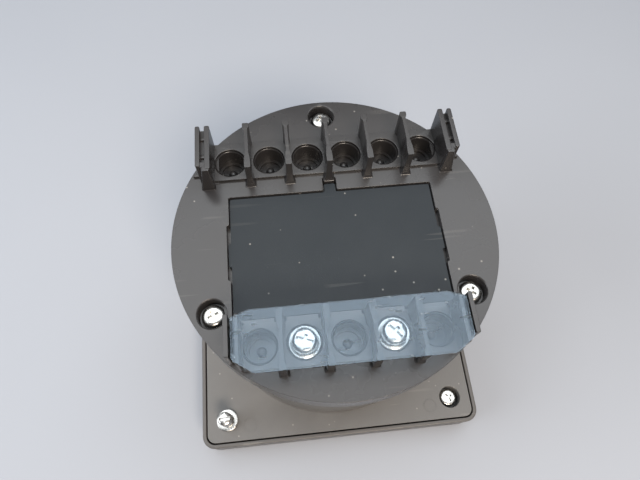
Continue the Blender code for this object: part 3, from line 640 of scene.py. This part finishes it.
def walled(side, inner, outer, near, far):
    """One plate of a double wall, as high as the barriers."""
    return block(*corners_of(side, inner, outer, near, far, FACE - 0.6, BARRIER_TOP), 0.25, 0.4)


def lower_end(side):
    """The double wall at one end of the lower row; the clear cover's leg drops between its plates."""
    inner, groove, outer, edge = LOWER_WALLS
    shells = [walled(side, inner, groove, -25.6, -39.2), walled(side, outer, edge, -25.6, -37.0)]
    foot = [(inner - 0.4, -26.6), (edge + 0.3, -26.6), (edge + 0.3, -25.5), (inner - 0.4, -25.5)]
    head = [(inner, -26.4), (edge, -26.4), (edge, -25.7), (inner, -25.7)]
    levels = [(UNDER + 1.5, foot), (FACE + 0.4, foot), (FACE + 1.2, head)]
    shells.append(stack([(z, eased(sided(side, plan), 0.3, 2)) for z, plan in levels], 0.15))
    return shells


def make_rear_cover():
    """The face with its openings, the skirt, the two terminal rows, and the counterbores."""
    holes = [rounded((-36.5, 21.6), (36.5, 34.3), 0.5, 2), rounded((-30.0, -38.9), (30.0, -26.9), 0.5, 2),
             recess_plan()]
    bores = [arc_point(COVER_SCREW_R, angle) for angle in COVER_SCREW_ANGLES]
    holes += [circle(COUNTERBORE_R, x, y, 48) for x, y in bores]
    roundings = (0.8, 0.0, 0.0, 0.2) + (0.45,) * len(bores)
    shells = [slab([circle(COVER_R, steps=144)] + holes, UNDER, FACE, roundings, 0.0, 4)]
    inner = COVER_R - 1.8
    skirt = [(COVER_R, UNDER), (COVER_R, SKIRT_LOW + 0.3), (COVER_R - 0.3, SKIRT_LOW),
             (inner + 0.3, SKIRT_LOW), (inner, SKIRT_LOW + 0.3), (inner, UNDER)]
    shells.append(spun(skirt, steps=144))
    ledge = [rounded((-35.0, -26.0), (35.0, 20.6), 1.0), rounded((-30.9, -23.4), (30.9, 13.7), 0.8)]
    shells.append(slab(ledge, UNDER - 0.2, FACE - 2.6, (0.0, 0.2)))
    shells += terminal_block(UPPER_WELLS, UPPER_Y, (-37.0, 21.1), (37.0, 34.8))
    shells += terminal_block(LOWER_WELLS, LOWER_Y, (-30.5, -39.4), (30.5, -26.4))
    shells += [barrier(PITCH * n, *UPPER_SPAN) for n in range(-2, 3)]
    shells += [barrier(PITCH * (n - 1.5), *LOWER_SPAN) for n in range(4)]
    for side in (-1, 1):
        shells += upper_end(side) + lower_end(side)
    for x, y in bores:
        wall = COUNTERBORE_R + 0.08
        bore = [(1.8, UNDER - 4.0), (5.4, UNDER - 4.0), (5.4, UNDER + 0.6), (wall, UNDER + 0.6),
                (wall, UNDER - 0.1), (wall - 0.3, UNDER - 0.4), (1.8, UNDER - 0.4)]
        shells.append(spun(bore, x, y, 48))
    piece("rear_cover_moulding", shells, COVER_BLACK, "root", "rear_cover")


def arc_point(radius, degrees):
    return radius * cos(radians(degrees)), radius * sin(radians(degrees))


# ---------------------------------------------------------------- plate and clear sheet

def make_rear_plate():
    """The snap-in plate with four feet."""
    top = PLATE_HIGH.z
    low = top - 1.5
    x = RECESS_X - PLATE_GAP
    side = x + TAB_STEP
    near, far = RECESS_Y[0] + PLATE_GAP, RECESS_Y[1] - PLATE_GAP
    tab_near, tab_far = -7.9, -0.5
    half = [(1.8, 17.9), (1.8, far), (x, far), (x, tab_far), (side, tab_far), (side, tab_near), (x, tab_near),
            (x, near)]
    shells = [slab([eased(mirrored(half) + half, 0.6, 3)], low, top, 0.35, 0.1, 3)]
    for sx in (-1, 1):
        for y in (-16.0, 8.0):
            shells.append(block(*corners_of(sx, 29.4, 30.6, y - 3, y + 3, PLATE_LOW.z, low + 0.4), 0.1))
    piece("rear_plate_moulding", shells, PLATE_BLACK, "rear_plate", "rear_plate")


def make_terminal_cover():
    """A flat clear sheet with cut corners and a leg at each end."""
    x = SHEET_HIGH.x
    low, high = SHEET_LOW.y, SHEET_HIGH.y
    outline = [(-x, low + 3.8), (-x + 5.5, low), (x - 5.5, low), (x, low + 3.8), (x, high - 1.7),
               (x - 5, high), (-x + 5, high), (-x, high - 1.7)]
    shells = [slab([eased(outline, 0.5, 3)], SHEET_HIGH.z - 0.8, SHEET_HIGH.z, 0.15, 0.15, 2)]
    for side in (-1, 1):
        shells.append(block(*corners_of(side, LOWER_WALLS[1] + 0.3, x - 0.05, -36.3, -27.7, SHEET_LOW.z,
                                        SHEET_HIGH.z - 0.8), 0.05))
    piece("terminal_cover_sheet", shells, CLEAR_SHEET, "terminal_cover", "terminal_cover")


# ---------------------------------------------------------------- case and front frame

def make_meter_case():
    """Flange and barrel in one, with lugs for the cover screws and cups for the frame screws."""
    half, top, low = 53.0, 15.0, 12.3
    barrel_r, bore_r = 46.0, 43.8
    holes = [circle(bore_r, steps=112)]
    holes += [circle(FRAME_BORE_R, x, y, 40) for x, y in SCREW_CORNERS]
    holes += [circle(2.0, x, y, 24) for x, y in STUD_CORNERS]
    shells = [slab([rounded((-half, -half), (half, half), 3.2, 6)] + holes, low, top,
                   (0.35, 0.0) + (0.25,) * 4, 0.0, 3)]
    collar = CASE_HIGH.z
    profile = [(47.9, collar), (47.9, collar - 6.2), (barrel_r, collar - 8.2), (barrel_r, top + 1.2),
               (barrel_r + 0.8, top - 0.4), (bore_r, top - 0.4), (bore_r, collar)]
    shells.append(spun(eased(profile, 0.35, 2), steps=144))
    for angle in COVER_SCREW_ANGLES:
        x, y = arc_point(COVER_SCREW_R, angle)
        lug = [(1.8, 56.3), (3.2, 56.3), (3.5, 56.9), (3.5, collar - 0.2), (1.8, collar - 0.2)]
        shells.append(spun(lug, x, y, 32))
    for x, y in SCREW_CORNERS:
        cup = [(1.9, 9.2), (5.2, 9.2), (5.2, low + 0.5), (FRAME_BORE_R, low + 0.5), (FRAME_BORE_R, 10.5),
               (3.9, 10.2), (1.9, 10.2)]
        shells.append(spun(cup, x, y, 40))
    for x, y in STUD_CORNERS + SCREW_CORNERS:
        sx, sy = (1 if x > 0 else -1), (1 if y > 0 else -1)
        mark = [(2.6, top - 0.3), (2.6, top + 0.12), (2.3, top + 0.12), (2.3, top - 0.3)]
        shells.append(spun(mark, x - sx * 8.6, y + sy * 2.6, 36))
    piece("meter_case_moulding", shells, CASE_BLACK, "root", "meter_case")


def make_front_frame():
    """The bezel with its rim and the pillars that take the studs and screws."""
    half = BEZEL_HALF
    outer = rounded((-half, -half), (half, half), 5.0, 8)
    window = rounded((-45, -45), (45, 45), 16.0, 10)
    pocket = rounded((-half + 1.5, -half + 1.5), (half - 1.5, half - 1.5), 3.5, 6)
    shells = [slab([outer, window], 0.0, 2.0, 0.0, (0.9, 0.7), 4),
              slab([outer, pocket], 2.0, RIM_TOP, (0.45, 0.25))]
    for x, y in STUD_CORNERS + SCREW_CORNERS:
        top = 12.0 if (x, y) in STUD_CORNERS else 8.9
        shells.append(spun([(1.9, 2.8), (1.9, top), (3.6, top), (3.6, 1.5), (0, 1.5), (0, 2.8)], x, y, 32))
    piece("front_frame_moulding", shells, FRAME_BLACK, "root", "front_frame")


# ---------------------------------------------------------------- hardware

def make_cover_screws():
    for index, (angle, turn) in enumerate(zip(COVER_SCREW_ANGLES, (8, 22, 52)), 1):
        node = f"cover_screw_{index}"
        low, high = node_box(node)
        x, y = arc_point(COVER_SCREW_R, angle)
        top = high.z
        head = [(2.1, top), (2.75, top - 0.18), (3.2, top - 0.55), (3.47, top - 1.2), (3.5, top - 2.4),
                (1.5, top - 2.4), (1.5, low.z + 0.5), (1.0, low.z)]
        shell = driven_head(head, recess_outline(0.45, 1.65, 1.65), 1.1, x, y, turn)
        piece(f"{node}_zinc", [shell], ZINC, "root", node)


def make_terminals():
    for index, turn in ((1, -20), (2, -50)):
        screw, washer = f"terminal_screw_{index}", f"terminal_washer_{index}"
        middle = middle_of(washer)
        x, y = middle.x, middle.y
        low, high = node_box(screw)
        top = high.z
        head = [(2.75, top), (3.2, top - 0.25), (3.45, top - 0.8), (3.5, top - 1.4), (3.5, top - 2.6),
                (1.9, top - 2.6), (1.9, low.z + 0.6), (1.3, low.z)]
        shell = driven_head(head, recess_outline(0.5, 2.5, 1.6), 1.2, x, y, turn)
        piece(f"{screw}_zinc", [shell], ZINC, screw, screw)
        low, high = node_box(washer)
        cup = [(2.3, low.z), (4.5, low.z), (4.65, low.z + 0.12), (4.65, high.z - 0.15), (4.5, high.z),
               (4.2, high.z), (3.7, high.z - 0.25), (2.3, high.z - 0.25)]
        piece(f"{washer}_zinc", [spun(cup, x, y, 56)], ZINC, washer, washer)


def make_corner_hardware():
    for index, (x, y) in enumerate(STUD_CORNERS, 1):
        node = f"mounting_stud_{index}"
        low, high = node_box(node)
        top = high.z
        body = [(2.2, top), (2.5, top - 0.25), (2.6, top - 0.6)]
        for n in range(7):
            z = top - 1.2 - n * 0.8
            body += [(2.6, z), (2.36, z - 0.4)]
        body += [(2.45, top - 7.7), (3.9, top - 7.7), (4.1, top - 7.85), (4.1, top - 8.7), (1.7, top - 8.7),
                 (1.7, low.z)]
        shell = driven_head(body, recess_outline(0.45, 2.05, 0.46), 1.4, x, y, 0, 48)
        piece(f"{node}_zinc", [shell], ZINC, "root", node)
    for index, (x, y) in enumerate(SCREW_CORNERS, 1):
        node = f"frame_screw_{index}"
        low, high = node_box(node)
        top = high.z
        head = [(2.6, top), (3.1, top - 0.2), (3.42, top - 0.6), (3.45, top - 2.0), (1.5, top - 2.0),
                (1.5, low.z)]
        shell = driven_head(head, recess_outline(0.5, 1.7, 1.7), 1.0, x, y, 33)
        piece(f"{node}_zinc", [shell], ZINC, "root", node)


# ---------------------------------------------------------------- dial

def make_dial_print():
    """A scale from 0 to 100 over the pointer's travel, read from the front."""
    dial_low, _ = node_box("dial_plate")
    z = dial_low.z
    start, travel = -30.0, 240.0
    shells = []
    for division in range(0, 101, 2):
        angle = start + travel * division / 100
        inner = 37.5 - (3.0 if division % 20 == 0 else 1.2 if division % 10 == 0 else 0.0)
        width = 0.45 if division % 20 == 0 else 0.3 if division % 10 == 0 else 0.16
        mark = slab([[(inner, -width), (40.0, -width), (40.0, width), (inner, width)]], z - PRINT_DEPTH, z)
        turn = Matrix.Rotation(radians(angle), 3, "Z")
        bmesh.ops.rotate(mark, cent=(0, 0, 0), matrix=turn, verts=mark.verts)
        shells.append(mark)
    line = arc(40.2, start, start + travel, 96) + arc(39.9, start + travel, start, 96)
    shells.append(slab([line], z - PRINT_DEPTH, z))
    print_on_dial("dial_scale", make_mesh("dial_scale", shells))
    for division in range(0, 101, 20):
        angle = start + travel * division / 100
        x, y = arc_point(29.5, angle)
        dial_number(str(division), x, y, z)


def dial_number(words, x, y, z):
    """A number that faces the front of the meter, made a flat mesh."""
    curve = bpy.data.curves.new("number", "FONT")
    curve.body = words
    curve.size = 5.5 * MM
    curve.align_x = "CENTER"
    curve.align_y = "CENTER"
    curve.extrude = 0.015 * MM
    holder = bpy.data.objects.new("number", curve)
    bpy.context.scene.collection.objects.link(holder)
    mesh = bpy.data.meshes.new_from_object(holder.evaluated_get(bpy.context.evaluated_depsgraph_get()))
    bpy.data.objects.remove(holder, do_unlink=True)
    shape = bmesh.new()
    shape.from_mesh(mesh)
    bmesh.ops.remove_doubles(shape, verts=shape.verts, dist=0.000001)
    turn = Matrix.Translation(Vector((x, y, z - 0.015)) * MM) @ Matrix.Rotation(pi, 4, "Y")
    bmesh.ops.transform(shape, matrix=turn, verts=shape.verts)
    bmesh.ops.recalc_face_normals(shape, faces=shape.faces)
    shape.to_mesh(mesh)
    shape.free()
    mesh.materials.clear()
    print_on_dial(f"dial_number_{words}", mesh)


def print_on_dial(name, mesh):
    mesh.materials.append(PRINT_BLACK)
    item = bpy.data.objects.new(name, mesh)
    bpy.context.scene.collection.objects.link(item)
    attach(item, "root")


# ---------------------------------------------------------------- studio

def make_floor():
    material, tree, shader = new_finish("studio_floor", 0.8)
    cloud = pattern(tree, "ShaderNodeTexNoise", 6.0, Detail=2.0)
    tree.links.new(tint(tree, cloud.outputs["Fac"], (0.34, 0.36, 0.40), (0.37, 0.39, 0.43)),
                   shader.inputs["Base Color"])
    shape = bmesh.new()
    bmesh.ops.create_grid(shape, x_segments=1, y_segments=1, size=3.0)
    bmesh.ops.translate(shape, vec=(0, 0, FRAME_LOW.z * MM - 0.0002), verts=shape.verts)
    mesh = bpy.data.meshes.new("studio_floor")
    shape.to_mesh(mesh)
    shape.free()
    mesh.materials.append(material)
    floor = bpy.data.objects.new("studio_floor", mesh)
    bpy.context.scene.collection.objects.link(floor)


def softbox(name, towards, width, height, power, colour):
    """A rectangular lamp in the direction given, facing the meter's rear cover."""
    lamp = bpy.data.lights.new(name, "AREA")
    lamp.shape = "RECTANGLE"
    lamp.size = width
    lamp.size_y = height
    lamp.energy = power
    lamp.color = colour
    holder = bpy.data.objects.new(name, lamp)
    direction = Vector(towards).normalized()
    holder.location = Vector((0, 0, FACE * MM)) + direction * LAMP_DISTANCE
    holder.rotation_euler = direction.to_track_quat("Z", "Y").to_euler()
    bpy.context.scene.collection.objects.link(holder)


def make_lights():
    world = bpy.data.worlds.new("studio")
    world.use_nodes = True
    world.node_tree.nodes["Background"].inputs["Color"].default_value = (0.55, 0.57, 0.62, 1)
    world.node_tree.nodes["Background"].inputs["Strength"].default_value = 0.19
    bpy.context.scene.world = world
    softbox("overhead_softbox", (0.0, 0.27, 0.96), 1.3, 0.60, 8.4, (0.95, 0.98, 1.0))
    softbox("left_softbox", (-0.9, -0.1, 0.45), 0.5, 0.5, 4.0, (0.92, 0.96, 1.0))
    softbox("front_softbox", (0.15, -0.64, 0.74), 0.34, 0.26, 6.6, (1.0, 0.87, 0.74))
    bpy.context.scene.view_settings.view_transform = "Standard"


def make_camera():
    """Looks down on the rear cover from the lower terminals' side, with a slight roll."""
    aim = Vector((-5.05, -1.98, FACE)) * MM
    distance = 0.1525
    back = Vector((-0.05799, -0.40090, 0.91428)).normalized()
    roll = radians(2.56)
    camera = bpy.data.cameras.new("camera")
    camera.lens = 28.125
    camera.sensor_width = 36.0
    camera.clip_start = 0.01
    holder = bpy.data.objects.new("camera", camera)
    turn = back.to_track_quat("Z", "Y").to_matrix().to_4x4() @ Matrix.Rotation(roll, 4, "Z")
    holder.matrix_world = Matrix.Translation(aim + back * distance) @ turn
    bpy.context.scene.collection.objects.link(holder)
    bpy.context.scene.camera = holder


finish_packed_nodes()
make_rear_cover()
make_rear_plate()
make_terminal_cover()
make_meter_case()
make_front_frame()
make_cover_screws()
make_terminals()
make_corner_hardware()
make_dial_print()
make_floor()
make_lights()
make_camera()
